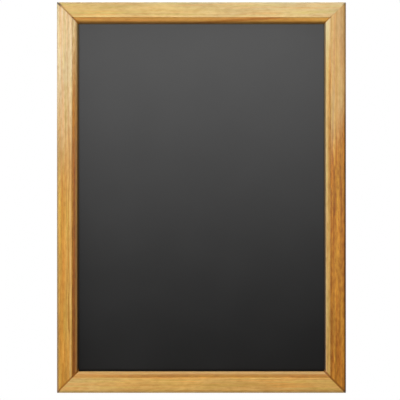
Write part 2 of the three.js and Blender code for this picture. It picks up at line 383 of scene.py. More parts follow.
# A rail is made lying along X with its outer edge at z = 0, and turned into its place
rails = {
    "bottom": {"node": "bottom_rail", "turn": 0, "points": 2, "ends": ("bottomLeft", "bottomRight")},
    "left": {"node": "left_stile", "turn": quarter, "points": 3, "ends": ("topLeft", "bottomLeft")},
    "top": {"node": "top_rail", "turn": 2 * quarter, "points": 2, "ends": ("topRight", "topLeft")},
    "right": {"node": "right_stile", "turn": -quarter, "points": 3, "ends": ("bottomRight", "topRight")},
}
middle = move(0, moulding["back"], moulding["middle"])
for side, rail in rails.items():
    level = side in ("top", "bottom")
    rail["length"] = moulding["width" if level else "height"]
    rail["edge"] = moulding["height" if level else "width"] / 2
    rail["place"] = middle @ turn(rail["turn"]) @ move(0, 0, -rail["edge"])

# Steel V-nails across the mitres, mm
vNail = {
    "leg": 4.2, "flange": 1.2, "thickness": 0.8, "height": 10, "sink": 0.2,
    "insets": {"inner": 23, "outer": 13}, "seat": 0.25, "ease": 0.12,
}

# Steel points that hold the board, mm
point = {
    "length": 16, "width": 7, "thickness": 0.5, "driven": 6, "tip": 3, "tailRound": 1.6,
    "liftFrom": 5, "lift": 1.35, "liftSteps": 6, "liftPower": 1.25, "depth": 4.3, "seat": 0.25, "ease": 0.07,
}


def nailShape(margin, low, high):
    # V in plan with its point towards +Z, standing between two depths on Y
    half = vNail["thickness"] / 2 + margin
    reach = vNail["leg"] / math.sqrt(2)
    skew = half * math.sqrt(2)
    end = -reach - vNail["flange"] - margin
    side = [(reach + half, -reach + skew - half), (reach + half, end), (reach - half, end),
            (reach - half, -reach - skew + half)]
    outline = [(0, skew)] + side + [(0, -skew)] + [(-x, z) for x, z in reversed(side)]
    bm = bmesh.new()
    face = bm.faces.new([bm.verts.new((x, low, z)) for x, z in outline])
    extrudeFaces(bm, [face], (0, high - low, 0))
    return bm


def nailPlaces(rail):
    # in the frame of one rail, an inner and an outer nail at either end
    for side in (-1, 1):
        for name, inset in vNail["insets"].items():
            place = move(side * (rail["length"] / 2 - inset), 0, inset)
            yield side, name, place @ turn(-side * quarter / 2)


def pointStations(rail):
    span = rail["length"] - 2 * moulding["railWidth"]
    for i in range(rail["points"]):
        x = ((i + 0.5) / rail["points"] - 0.5) * span
        yield i + 1, move(x, -point["depth"], moulding["rebate"][0])


def railCutters(rail, screwPlace):
    cutters = bmesh.new()
    seat = vNail["seat"]
    for side, name, place in nailPlaces(rail):
        addShape(cutters, placed(nailShape(seat, -vNail["sink"] - vNail["height"] - seat, overcut), place))
    seat = point["seat"]
    for number, place in pointStations(rail):
        slot = block((point["width"] + 2 * seat, point["thickness"] + 2 * seat, point["driven"] + overcut))
        shift = move(0, point["thickness"] / 2, (overcut - point["driven"]) / 2 - seat)
        addShape(cutters, placed(slot, place @ shift))
    if screwPlace is not None:
        addShape(cutters, placed(rod(screw["hole"], screw["pilotDepth"], steps=24), screwPlace))
    faceOutwards(cutters)
    return cutters


def endPlanes(rail, side):
    # the mitre face, and the worn tip square to it: a point and an outward normal each
    left, right = rail["ends"]
    mitre = mitres[left if side < 0 else right]
    outerGap, innerGap = mitre["gap"]
    reach = moulding["railWidth"]
    outward = Vector((side, 0, 1)).normalized()
    outer = Vector((side * rail["length"] / 2, 0, 0)) - outward * outerGap
    inner = Vector((side * (rail["length"] / 2 - reach), 0, reach)) - outward * innerGap
    mitreNormal = (inner - outer).cross(Vector((0, side, 0))).normalized()
    if mitreNormal.dot(outward) < 0:
        mitreNormal.negate()
    tipNormal = Vector((side, 0, -1)).normalized()
    tip = Vector((side * rail["length"] / 2, 0, 0)) - tipNormal * moulding["tipWear"]
    return ((outer, mitreNormal), (tip, tipNormal)), mitre["ease"]


def cutEnd(bm, rail, side):
    for place, normal in endPlanes(rail, side)[0]:
        cut = sliceAt(bm, place, normal, dist=moulding["weld"], clear_outer=True)
        rim = [edge for edge in pick(cut["geom_cut"], bmesh.types.BMEdge) if len(edge.link_faces) == 1]
        bmesh.ops.edgeloop_fill(bm, edges=rim)
    faceOutwards(bm)


def inRebate(across, y):
    (rebateAcross, rebateDepth), (aside, deeper) = moulding["rebate"], moulding["rebateSlack"]
    return across > rebateAcross - aside and y > -rebateDepth - deeper


def easeEnd(bm, rail, side):
    # only the arrises that show from the front and from outside
    planes, ease = endPlanes(rail, side)
    rim = []
    for edge in bm.edges:
        a, b = (v.co for v in edge.verts)
        onPlane = any(abs((a - place).dot(normal)) < 2 * near and abs((b - place).dot(normal)) < 2 * near
                      for place, normal in planes)
        long = any(abs(face.normal.x) < near for face in edge.link_faces)
        hidden = inRebate(min(a.z, b.z), max(a.y, b.y)) or min(a.y, b.y) >= -moulding["easeDepth"]
        if onPlane and long and not hidden:
            rim.append(edge)
    bevel(bm, rim, ease, steps=2)


def railShape(rail, screwPlace):
    bm = bmesh.new()
    half = rail["length"] / 2
    outline = [bm.verts.new((-half, -depth, across)) for across, depth, radius, steps in moulding["section"]]
    extrudeFaces(bm, [bm.faces.new(outline)], (2 * half, 0, 0))
    for across, depth, radius, steps in moulding["section"]:
        if radius:
            arris = edgesWhere(bm, lambda co: abs(co.y + depth) < near and abs(co.z - across) < near)
            bevel(bm, arris, radius, steps)
    cutEnd(bm, rail, -1)
    cutEnd(bm, rail, 1)
    cutAway(bm, railCutters(rail, screwPlace))
    bmesh.ops.remove_doubles(bm, verts=bm.verts, dist=moulding["weld"])
    easeEnd(bm, rail, -1)
    easeEnd(bm, rail, 1)
    # the back, the rebate and the seats are bare wood, the rest is stained
    seatAcross, seatFrom, seatTo = moulding["seatZone"]
    for face in bm.faces:
        x, y, across = face.calc_center_median()
        inSeat = seatAcross < across < moulding["rebate"][0] and seatFrom < -y < seatTo
        onMitre = abs(abs(x) - (half - across)) < moulding["mitreBand"]
        bare = y > -moulding["bareDepth"] or inRebate(across, y) or (inSeat and not onMitre)
        face.material_index = 1 if bare else 0
    return bm


# Honey-stained pine, one cut of wood for each rail. Places are mm across the moulding from its outer edge.
# pale is painted sheen that makes one end paler (-1 left, 1 right as the rail lies along X) on the face and
# on
# the bead: how much, mm from the end where it weakens, mm where it is gone, colour. slant shifts that for
# each mm across the face, and calm stills the streaks there. figureAt is where the long figure is cut from
# its noise, ring the scale of the growth rings, streaks how strongly figure and short flecks show on the face
# and on the bead, lines single dark lines of grain, tints the changes across the section: stain, with painted
# shade on the outer arris and painted highlights and shade by the quirk and the lip. edge darkens the outer
# arris towards either end as painted shade, groove darkens the quirk as painted shade; arris and the key
# after it are painted highlights beside the quirk and along the lip, the key after those is a painted grey
# reflection there, and lip is the dark sight edge, painted shade with some stain built up there: its first
# and its full place, and its strength at either end.
pine = {
    "bottom": {
        "light": (0.635, 0.375, 0.105), "dark": (0.538, 0.295, 0.075), "bead": (0.39, 0.155, 0.002),
        "pale": {"end": -1, "face": (0.35, 20, 150, (0.59, 0.42, 0.18)),
                 "bead": (0.6, 40, 190, (0.52, 0.28, 0.06))},
        "seed": 11, "figureAt": 65, "ring": 0.23, "streaks": {"figure": (0.06, 0.16), "flecks": (0.13, 0.13)},
        "tints": [(0, (0.7, 0.78, 0.95)), (2.5, (0.8, 0.83, 0.92)), (5.5, grey(0.98)),
                  (15, (0.95, 0.92, 0.88)), (21, (1, 1.01, 1.05)), (24.5, (0.96, 0.97, 0.99)),
                  (26.6, (1.1, 1.12, 1.12)), (28.5, grey(1)), (34, (1.05, 1.1, 1.2))],
        "edge": (0, 0), "groove": 0, "arris": (0, 24.4, 26.2), "lipHighlight": 0.35, "greySheen": 0,
        "lip": (36.2, 36.9, 0.95, 0.95),
    },
    "left": {
        "light": (0.617, 0.354, 0.075), "dark": (0.423, 0.2, 0.022), "bead": (0.45, 0.165, 0.006),
        "pale": {"end": -1, "face": (0.57, 90, 360, (0.58, 0.5, 0.35)),
                 "bead": (0.8, 0, 200, (0.58, 0.47, 0.24))},
        "lines": [{"course": (27.5, 0), "wander": 6, "width": (-230, -60, 0.8, 2.7),
                   "fade": (-210, -50, 0.1, 0.76), "within": (26.8, 28.4, 0, 1),
                   "colour": (0.215, 0.056, 0.003)}],
        "seed": 37, "figureAt": 53, "ring": 0.26, "streaks": {"figure": (0.23, 0.32), "flecks": (0.15, 0.24)},
        "tints": [(0, (0.55, 0.62, 0.72)), (2.8, (0.7, 0.76, 0.85)), (4.2, (0.94, 0.96, 0.96)),
                  (6.5, (1.07, 1.06, 1.04)), (13, (1.06, 1, 0.94)), (17, (0.92, 0.9, 0.86)),
                  (20.6, (0.93, 0.91, 0.87)), (22.5, (1, 1.01, 1.02)), (24.6, (0.98, 0.94, 0.88)),
                  (25.8, (0.82, 0.76, 0.64)), (27.5, grey(1))],
        "edge": (0, 1), "groove": 0.08, "arris": (0.3, 21.7, 25.2), "lipHighlight": 0, "greySheen": 0.6,
        "lip": (33.5, 35.3, 0.68, 0.97),
    },
    "top": {
        "light": (0.545, 0.371, 0.119), "dark": (0.462, 0.293, 0.081), "bead": (0.463, 0.209, 0.035),
        "pale": {"end": -1, "face": (0.3, 0, 494, (0.6, 0.5, 0.33)),
                 "bead": (0.8, 40, 220, (0.522, 0.27, 0.047))},
        "lines": [{"course": (34.4, 0.07), "wander": 3, "width": (-200, 200, 2.4, 1.6),
                   "fade": (-60, 160, 0.66, 0), "within": (26.8, 27.6, 0, 1),
                   "colour": (0.33, 0.115, 0.008)}],
        "seed": 71, "figureAt": 29, "ring": 0.21, "streaks": {"figure": (0.05, 0.14), "flecks": (0.12, 0.12)},
        "tints": [(0, (0.66, 0.74, 0.85)), (2.5, (0.78, 0.84, 0.96)), (5, (0.96, 0.97, 0.98)),
                  (10, (1.03, 1.02, 1.05)), (17, (0.96, 0.97, 0.9)), (24, (1.05, 1.02, 1)), (27, grey(1)),
                  (31, (0.95, 0.92, 0.95))],
        "edge": (0, 0), "groove": 0.1, "arris": (0.4, 24.4, 26.2), "lipHighlight": 0, "greySheen": 0,
        "lip": (31.4, 35.4, 0.7, 0.7),
    },
    "right": {
        "light": (0.583, 0.279, 0.026), "dark": (0.348, 0.118, 0.008), "bead": (0.445, 0.265, 0.075),
        "pale": {"end": 1, "slant": 3, "calm": 1.6, "face": (0.4, 190, 290, (0.6, 0.48, 0.24)),
                 "bead": (0.6, 20, 125, (0.64, 0.54, 0.32))},
        "lines": [{"course": (15.4, -0.028), "wander": 3, "width": (-330, 0, 2.6, 2),
                   "fade": (-20, 120, 0.45, 0), "within": (25.2, 26.2, 1, 0),
                   "colour": (0.3, 0.1, 0.006)}],
        "seed": 53, "figureAt": 65, "ring": 0.28, "streaks": {"figure": (0.4, 0.3), "flecks": (0.33, 0.2)},
        "tints": [(0, (0.14, 0.09, 0.06)), (2, (0.22, 0.14, 0.085)), (4.2, (0.88, 0.79, 0.62)),
                  (9, (1, 1.01, 0.96)), (14, (1.05, 1.03, 0.97)), (17, (0.94, 0.9, 0.76)),
                  (21, (1.06, 1.05, 1.2)), (26, (0.88, 0.8, 0.66)), (29, (1, 0.98, 0.85)),
                  (33, (1.04, 1.14, 1.4))],
        "edge": (0, 0), "groove": 0.15, "arris": (0, 24.4, 26.2), "lipHighlight": 0.12, "greySheen": 0,
        "lip": (33.7, 35.2, 1, 0.72),
    },
}

# What the four rails share: colours, and the places where one look passes into another
stain = {
    "beadMix": 0.85, "beadFrom": (26.4, 27.2), "faceToBead": (26, 27.5), "slantFrom": 20,
    "roundedOff": (-15.2, -11.5),    # in depth, where the face's bands end
    "bare": (0.66, 0.47, 0.28), "bareDark": (0.52, 0.33, 0.17),
    # the next: painted shade on the outer arris
    "edge": (0.61, 0.53, 0.42), "edgeFrom": (2.8, 4.8),    # the colour is a factor
    # the next: painted shade in the quirk, and the two after it painted light for what the quirk loses
    "quirk": (0.22, 0.07, 0.008), "quirkBand": (26, 26.3, 26.8, 27.2),
    "quirkLift": 1.25,    # a factor, for the light that the quirk loses
    "liftBand": (25.5, 26.1, 27.1, 27.7),
    # the next: the colour of the painted highlights beside the quirk and along the lip, and where they show
    "wearAndHighlight": (0.8, 0.58, 0.26), "arrisFades": (0.9, 0.3), "arrisPatches": (0.3, 0.6, 0.3),
    # the next: where the painted highlight along the lip shows
    "lipHighlightFrom": (31.5, 34), "lipHighlightPatches": (0.3, 0.6, 0.6, 1),
    # the next: the painted grey reflection on the bead by the lip
    "greySheen": (0.29, 0.178, 0.062), "greySheenFrom": (30.4, 33.2),
    # the next: the dark sight edge, painted shade with some stain built up there
    "lip": (0.026, 0.012, 0.004), "lineFades": (0.5, 1.3, 1, 0),
    # the next: the dark joint colour of the mitres, also painted shade at their inner ends
    "mitre": (0.25, 0.082, 0.002), "mitreFrom": (16, 30), "soaked": 0.3,
    "tip": (0.07, 0.05, 0.03), "tipFades": (0.9, 2.6, 6), "tipDepth": (-14, -8, 1, 0.2),
    "overrun": (-1.4, 1.2, 0.85, 0), "overrunRagged": -4,
}

# Grain: each noise's stretch along and across the rail, where it is cut, and its scale, detail, roughness and
# distortion, then how they mix
grainNoise = {
    "drift": {"stretch": (0.006, 0.05), "noise": (1, 2)},
    "fibres": {"stretch": (0.011, 1.3), "noise": (1.6, 4, 0.62, 0.3)},
    "threads": {"stretch": (0.05, 4.5), "noise": (2.2, 2)},
    "patches": {"stretch": (0.011, 0.06), "noise": (1, 2)},
    "hues": {"stretch": (0.009, 0.34), "cut": (70, 0, 30), "noise": (1, 2)},
    "figure": {"stretch": (0.006, 0.24), "noise": (1, 2, 0.55)},
    "flecks": {"stretch": (0.08, 0.26), "cut": (40, 0, 20), "noise": (1, 2, 0.55)},
    "pores": {"stretch": (0.07, 8), "noise": (1, 2)},
}
growthRings = {"Distortion": 1.4, "Detail": 2, "Detail Scale": 0.7, "Detail Roughness": 0.6}
grainMix = {
    "heart": -18, "seedAlong": 13, "figureAcross": 90,
    "wander": (4, 16), "ringStretch": (0.0008, 0.35, 1), "ringCut": (0, 12, 0),
    "fibres": 0.5, "threads": 0.22, "tone": (0.26, 0.74), "uneven": (0.3, 0.7, 0.86, 1.1),
    "hues": [(0.36, (1.03, 0.9, 0.75)), (0.5, grey(1)), (0.64, (0.96, 1.01, 0.83))],
    "pores": (0.32, 0.44, 0.72, 1.02),
    "streakStops": (0.34, 0.5, 0.66), "streakHue": (0.65, 0.92, 1.6), "lighter": 0.7,
    "gloss": (0.25, 0.8, 0.5, 0.38), "relief": 0.45,
}


def grainFactors(place, wood):
    # rings as long wandering stripes, and finer fibres
    seed = (wood["seed"] * grainMix["seedAlong"], wood["seed"], grainMix["heart"])
    moved = vectorCalc("ADD", place, seed)[0]
    grain = {}
    for name, layer in grainNoise.items():
        along, across = layer["stretch"]
        cut = layer.get("cut", grey(0))
        if name == "figure":
            cut = (wood["figureAt"], 0, grainMix["figureAcross"])
        grain[name] = noise(stretch(moved, (along, across, across), cut), *layer["noise"])
    sway = {axis: times(grain["drift"], reach) for axis, reach in zip("YZ", grainMix["wander"])}
    wandered = vectorCalc("ADD", moved, addNode("CombineXYZ", sway).outputs[0])[0]
    rings = {"Vector": stretch(wandered, grainMix["ringStretch"], grainMix["ringCut"]),
             "Scale": wood["ring"] / 2, **growthRings}
    grain["rings"] = addNode("TexWave", rings, wave_type="RINGS", rings_direction="X",
                             wave_profile="SAW").outputs["Fac"]
    return grain


def grainLine(along, across, drift, line):
    # one line of grain, which wanders about a straight course and fades along it
    base, slope = line["course"]
    course = calc("ADD", times(along, slope), base)
    centre = calc("ADD", course, times(drift, line["wander"]))
    aside = calc("ABSOLUTE", calc("SUBTRACT", across, centre))
    width = spread(along, *line["width"])
    mask = spread(calc("DIVIDE", aside, width), *stain["lineFades"])
    mask = times(mask, spread(along, *line["fade"]))
    return times(mask, spread(across, *line["within"]))


def stainedColour(side, colour, place, grain):
    wood, rail = pine[side], rails[side]
    along, depth, across = axes(place)
    half = rail["length"] / 2
    isBead = spread(across, *stain["beadFrom"], 0, stain["beadMix"])
    colour = mix(isBead, colour, wood["bead"])
    # one end is painted paler, as painted sheen, its bands and streaks with it
    sheenEnd = wood["pale"]
    fromEnd = calc("SUBTRACT", half, times(along, sheenEnd["end"]))
    aslant = times(calc("SUBTRACT", stain["slantFrom"], across), sheenEnd.get("slant", 0))
    fades, paints = [], []
    for part, distance in (("face", calc("ADD", fromEnd, aslant)), ("bead", fromEnd)):
        strength, first, last, paint = sheenEnd[part]
        fades.append(spread(distance, first, last, strength, 0))
        paints.append(paint)
    onBead = spread(across, *stain["faceToBead"], 0, 1)
    pale = mix(onBead, *fades)
    colour = mix(pale, colour, mix(onBead, *paints))
    banded = times(spread(depth, *stain["roundedOff"], 1, 0), calc("SUBTRACT", 1, pale))
    calm = calc("SUBTRACT", 1, times(pale, sheenEnd.get("calm", 0)))
    for line in wood.get("lines", ()):
        mask = grainLine(along, across, grain["drift"], line)
        colour = mix(mask, colour, line["colour"])
    colour = multiply(colour, ramp(grain["hues"], grainMix["hues"]))
    colour = multiply(colour, shade(grain["pores"], *grainMix["pores"]))
    for name, shares in wood["streaks"].items():
        strength = max(shares)
        darker, lighter = ([1 + change * hue for hue in grainMix["streakHue"]]
                           for change in (-strength, grainMix["lighter"] * strength))
        streak = ramp(grain[name], list(zip(grainMix["streakStops"], (darker, grey(1), lighter))))
        shown = spread(across, *stain["faceToBead"], *(share / strength for share in shares))
        colour = multiply(colour, streak, times(shown, calm))
    # the tints: stain, with painted shade on the outer arris and painted highlights and shade by the quirk
    # and the lip
    width = moulding["railWidth"]
    tint = ramp(calc("DIVIDE", across, width), [(spot / width, hue) for spot, hue in wood["tints"]])
    colour = multiply(colour, mix(banded, grey(1), tint))
    # painted shade on the outer arris towards one end
    edge = times(spread(along, -half, half, *wood["edge"]), spread(across, *stain["edgeFrom"], 1, 0))
    colour = multiply(colour, stain["edge"], times(edge, banded))
    # painted light for what the quirk loses, painted shade in it, and painted highlights beside it and along
    # the lip
    colour = multiply(colour, grey(stain["quirkLift"]), band(across, *stain["liftBand"]))
    quirk = times(band(across, *stain["quirkBand"]), wood["groove"])
    colour = mix(quirk, colour, stain["quirk"])
    # a painted highlight on the arris beside the quirk, in patches
    strength, first, last = wood["arris"]
    rise, fall = stain["arrisFades"]
    low, high, least = stain["arrisPatches"]
    arris = times(band(across, first, first + rise, last - fall, last),
                  spread(grain["patches"], low, high, least * strength, strength))
    # a painted highlight along the lip, in patches
    lipHighlightMask = times(spread(across, *stain["lipHighlightFrom"], 0, wood["lipHighlight"]),
                   spread(grain["hues"], *stain["lipHighlightPatches"]))
    wearAndHighlight = calc("ADD", times(arris, banded), lipHighlightMask)
    colour = mix(wearAndHighlight, colour, stain["wearAndHighlight"])
    # a painted grey reflection on the bead by the lip
    greySheen = spread(across, *stain["greySheenFrom"], 0, wood["greySheen"])
    colour = mix(greySheen, colour, stain["greySheen"])
    # the dark sight edge: painted shade, with some stain built up there
    lipStart, lipFull, *lipEnds = wood["lip"]
    lip = times(spread(across, lipStart, lipFull, 0, 1), spread(along, -half, half, *lipEnds))
    colour = mix(lip, colour, stain["lip"])
    # dark stain in the mitre joints, most of all at their inner ends, where it is painted shade in the
    # corner, and the worn tips
    begin, gone, inwards = stain["tipFades"]
    for sign, corner in zip((1, -1), rail["ends"]):
        mitre = mitres[corner]
        beside = calc("SUBTRACT", calc("ADD", half, times(along, sign)), across)
        soak = mitre["soak"][side]
        line = times(spread(beside, soak * stain["soaked"], soak, 1, 0),
                     spread(across, *stain["mitreFrom"], *mitre["stain"]))
        colour = mix(line, colour, stain["mitre"])
        dark, size = mitre["tip"]
        tip = times(spread(beside, begin * size, gone * size, dark, 0),
                    spread(across, gone * size, inwards * size, 1, 0))
        tip = times(tip, spread(depth, *stain["tipDepth"]))
        colour = mix(tip, colour, stain["tip"])
    return colour


def stainedPine(side):
    wood, rail = pine[side], rails[side]
    start = turn(-rail["turn"]) @ Vector((0, -moulding["back"], -moulding["middle"]))
    start += Vector((0, 0, rail["edge"]))
    made = []
    for bare in (False, True):
        name = side + ("BarePine" if bare else "StainedPine")
        material, place = startMaterial(name, start, (0, -rail["turn"], 0))
        grain = grainFactors(place, wood)
        streak = mix(grainMix["fibres"], grain["rings"], grain["fibres"])
        streak = mix(grainMix["threads"], streak, grain["threads"])
        dark, light = (stain["bareDark"], stain["bare"]) if bare else (wood["dark"], wood["light"])
        colour = mix(shade(streak, *grainMix["tone"]), dark, light)
        colour = multiply(colour, shade(grain["patches"], *grainMix["uneven"]))
        height = mix(grainMix["relief"], grain["fibres"], grain["threads"])
        if bare:
            # stain that ran over the outer arris onto the back
            ragged = calc("ADD", axes(place)["Z"], times(grain["fibres"], stain["overrunRagged"]))
            colour = mix(spread(ragged, *stain["overrun"]), colour, wood["dark"])
            surface = {"Roughness": 0.72, "Specular IOR Level": 0.3}
            finishMaterial(colour, surface, height, 0.25, 0.45)
        else:
            colour = stainedColour(side, colour, place, grain)
            surface = {"Roughness": shade(grain["fibres"], *grainMix["gloss"]), "Specular IOR Level": 0.1,
                       "Coat Weight": 0.6, "Coat Roughness": 0.22}
            finishMaterial(colour, surface, height, 0.12, 0.3)
        made.append(material)
    return made


# Ring hangers, mm, drawn from the axis of the ring's straight bar
hanger = {
    "x": 232.5, "y": -2.65, "z": -18.5,
    "wire": 1.2, "ringHalf": 8.7, "ringCorner": 2.4, "bowCentre": -11, "ringWeld": 1e-3,
    "bore": 1.45, "sheet": 0.9, "strapWidth": 11, "tail": -11.5, "tailRound": 4.5,
    "bendY": 0.35, "bendZ": -3.03, "ease": 0.14,
}
screw = {
    "z": -6.8, "y": -0.25, "turned": 0.4, "length": 13, "tip": 3, "core": 1.25,
    "head": 3.45, "side": 0.9, "height": 2.2, "flat": 1.73, "rims": (0.8, 0.7),
    "slot": (4, 0.9), "slotDepth": 1.3, "slotFloor": (0.62, 1, 0.75),
    "crest": 1.72, "pitch": 1.4, "turns": 6, "toothHalf": 0.4, "toothRoot": 0.15, "threadFrom": 0.2,
    "hole": 2.05, "strapHoleDepth": 8, "pilotDepth": 14, "pilotBelow": 0.3,
}

# Rails
screwHole = {}
for side, right in (("left", -1), ("right", 1)):
    below = screw["pilotBelow"] + screw["pilotDepth"] / 2
    centre = move(right * hanger["x"], hanger["y"] + screw["y"] - below, hanger["z"] + screw["z"])
    screwHole[side] = rails[side]["place"].inverted() @ centre @ turn(quarter, "X")
for side, rail in rails.items():
    name = side + ("Rail" if side in ("top", "bottom") else "Stile")
    shape = railShape(rail, screwHole.get(side))
    piece = finishPiece(shape, name, rail["node"], stainedPine(side), rail["place"])
    weighted = piece.modifiers.new("evenShading", "WEIGHTED_NORMAL")
    weighted.keep_sharp = True
print("moulding mitred and stained")

# The board: writing sheet, core and backing, mm
board = {"width": 434, "height": 608, "middle": -264.9}
layers = {
    "writingSheet": {"node": "writing_sheet", "slot": "writing_surface", "front": -14, "thick": 0.8,
                     "ease": 0.15},
    "coreBoard": {"node": "core_board", "slot": "core_fibreboard", "front": -13.1, "thick": 3, "ease": 0.35},
    "backingSheet": {"node": "backing_sheet", "slot": "backing_paper", "front": -10, "thick": 0.5,
                     "ease": 0.1},
}
writingBlack = {
    "base": (0.01, 0.0098, 0.0096), "wearAndHighlight": (0.013, 0.0128, 0.0126),
    "roughness": (0.38, 0.43), "brushed": 0.15,
    # the next: painted shadow along the bottom lip
    "shadowBlack": (0.001, 0.0006, 0.0004), "lipShadowLine": (-558.8, -557.2),
    # the next: painted light under the top lip, where its shadow falls
    "dustAndPaintedLight": (0.04, 0.037, 0.033), "paintedLightLine": (31, 32.6),
}
fibreCore = {"light": (0.36, 0.245, 0.14), "dark": (0.22, 0.14, 0.075)}
kraftBacking = {"light": (0.33, 0.225, 0.13), "dark": (0.21, 0.135, 0.075), "fleck": (0.11, 0.07, 0.04)}


def writingSurface():
    material, place = startMaterial("writingSurfaceBlack")
    cloud = noise(place, 0.012, 3)
    grit = noise(place, 2.4, 3, 0.6)
    brushed = noise(stretch(place, (0.03, 1, 0.4)), 1, 3)
    colour = mix(shade(cloud, 0.3, 0.72), writingBlack["base"], writingBlack["wearAndHighlight"])
    colour = mix(writingBlack["brushed"], colour, multiply(colour, brushed))
    # painted shadow along the bottom lip, and painted light under the top one where its shadow falls
    height = axes(place)["Z"]
    lipShadow = spread(height, *writingBlack["lipShadowLine"], 1, 0)
    colour = mix(lipShadow, colour, writingBlack["shadowBlack"])
    dustAndPaintedLight = spread(height, *writingBlack["paintedLightLine"], 0, 1)
    colour = mix(dustAndPaintedLight, colour, writingBlack["dustAndPaintedLight"])
    rough = shade(brushed, 0.3, 0.7, *writingBlack["roughness"])
    finishMaterial(colour, {"Roughness": rough, "Specular IOR Level": 0.575}, grit, 0.03, 0.25)
    return material


def coreFibre():
    material, place = startMaterial("fibreboardCore")
    fluff = noise(place, 1.1, 5, 0.7)
    long = noise(stretch(place, (0.4, 2.2, 0.4)), 1.6, 3)
    tone = shade(mix(0.4, fluff, long), 0.3, 0.7)
    colour = mix(tone, fibreCore["dark"], fibreCore["light"])
    finishMaterial(colour, {"Roughness": 0.9, "Specular IOR Level": 0.2}, fluff, 0.3, 0.4)
    return material


def backingKraft():
    material, place = startMaterial("kraftBacking")
    pulp = noise(stretch(place, (0.5, 1, 1.4)), 0.5, 5, 0.65)
    blotch = noise(place, 0.018, 3)
    cells = {"Vector": stretch(place, (0.28, 1, 0.7)), "Scale": 0.55}
    flecks = addNode("TexVoronoi", cells).outputs["Distance"]
    colour = mix(shade(pulp, 0.3, 0.7), kraftBacking["dark"], kraftBacking["light"])
    colour = multiply(colour, shade(blotch, 0.3, 0.7, 0.85, 1.12))
    colour = mix(shade(flecks, 0.05, 0.12, 0.7, 0), colour, kraftBacking["fleck"])
    finishMaterial(colour, {"Roughness": 0.78, "Specular IOR Level": 0.25}, pulp, 0.1, 0.35)
    return material


finishes = {"writingSheet": writingSurface(), "coreBoard": coreFibre(), "backingSheet": backingKraft()}
for name, layer in layers.items():
    sheet = block((board["width"], layer["thick"], board["height"]))
    bevel(sheet, sheet.edges[:], layer["ease"], steps=2)
    place = move(0, layer["front"] + layer["thick"] / 2, board["middle"])
    finishPiece(sheet, name, layer["node"], [finishes[name]], place)
print("board laid in its rebate")


# Metal and rubber finishes
metal = {
    "mitreNailSteel": {"colour": (0.5, 0.49, 0.46), "dull": (0.3, 0.27, 0.24), "roughness": (0.34, 0.5)},
    "boardPointSteel": {"colour": (0.46, 0.45, 0.43), "dull": (0.31, 0.285, 0.25), "roughness": (0.3, 0.45)},
    "hangerPlating": {"colour": (0.61, 0.6, 0.57), "dull": (0.44, 0.42, 0.38), "roughness": (0.2, 0.34)},
}
bumperFinish = {"base": (0.02, 0.02, 0.021), "dustAndPaintedLight": (0.055, 0.052, 0.048), "roughness": (0.55, 0.75)}


def platedMetal(name):
    look = metal[name]
    material, place = startMaterial(name)
    stained = noise(place, 0.35, 4, 0.6)
    scratch = noise(stretch(place, (3.5, 3.5, 0.25)), 1.2, 2)
    colour = mix(shade(stained, 0.38, 0.68), look["colour"], look["dull"])
    rough = shade(mix(0.5, stained, scratch), 0.3, 0.7, *look["roughness"])
    finishMaterial(colour, {"Roughness": rough, "Metallic": 1}, scratch, 0.03, 0.3)
    return material


def bumperRubber():
    material, place = startMaterial("bumperRubber")
    skin = noise(place, 2.6, 3)
    dust = noise(place, 0.4, 3)
    colour = mix(shade(dust, 0.42, 0.72), bumperFinish["base"], bumperFinish["dustAndPaintedLight"])
    surface = {"Roughness": shade(dust, 0.3, 0.7, *bumperFinish["roughness"]), "Specular IOR Level": 0.4}
    finishMaterial(colour, surface, skin, 0.08, 0.4)
    return material


# V-nails, each shared by the two rails of its corner
nailSteel = platedMetal("mitreNailSteel")
cornerOf = {"bottom": ("bottom_left", "bottom_right"), "top": ("top_right", "top_left")}
for side, corners in cornerOf.items():
    for end, where, place in nailPlaces(rails[side]):
        corner = corners[0] if end < 0 else corners[1]
        nail = nailShape(0, -vNail["sink"] - vNail["height"], -vNail["sink"])
        bevel(nail, sharpEdges(nail, 40), vNail["ease"], steps=1)
        finishPiece(nail, f"mitreNail_{corner}_{where}", f"mitre_nail_{corner}_{where}",
                    [nailSteel], rails[side]["place"] @ place)
print("mitre nails driven")


# Points: the tip goes into the rail, the tail curls off the board
pointSteel = platedMetal("boardPointSteel")


def pointShape():
    half = point["width"] / 2
    tail = point["length"] - point["driven"]
    neck = -point["driven"] + point["tip"]
    lifted = tail - point["liftFrom"]
    bm = bmesh.new()
    outline = [(0, -point["driven"]), (half, neck), (half, tail), (-half, tail), (-half, neck)]
    verts = [bm.verts.new((x, 0, z)) for x, z in outline]
    bm.faces.new(verts)
    bevel(bm, verts[2:4], point["tailRound"], steps=5, affect="VERTICES")
    for step in range(point["liftSteps"]):
        z = point["liftFrom"] + step * lifted / point["liftSteps"]
        sliceAt(bm, (0, 0, z), (0, 0, 1))
    for vert in bm.verts:
        along = max(0, (vert.co.z - point["liftFrom"]) / lifted)
        vert.co.y = point["lift"] * along ** point["liftPower"]
    extrudeFaces(bm, bm.faces[:], (0, point["thickness"], 0))
    bevel(bm, sharpEdges(bm, 60), point["ease"], steps=1)
    return bm


for side, rail in rails.items():
    for number, place in pointStations(rail):
        finishPiece(pointShape(), f"boardPoint_{side}_{number}", f"retaining_point_{side}_{number}",
                    [pointSteel], rail["place"] @ place)
print("board points driven")


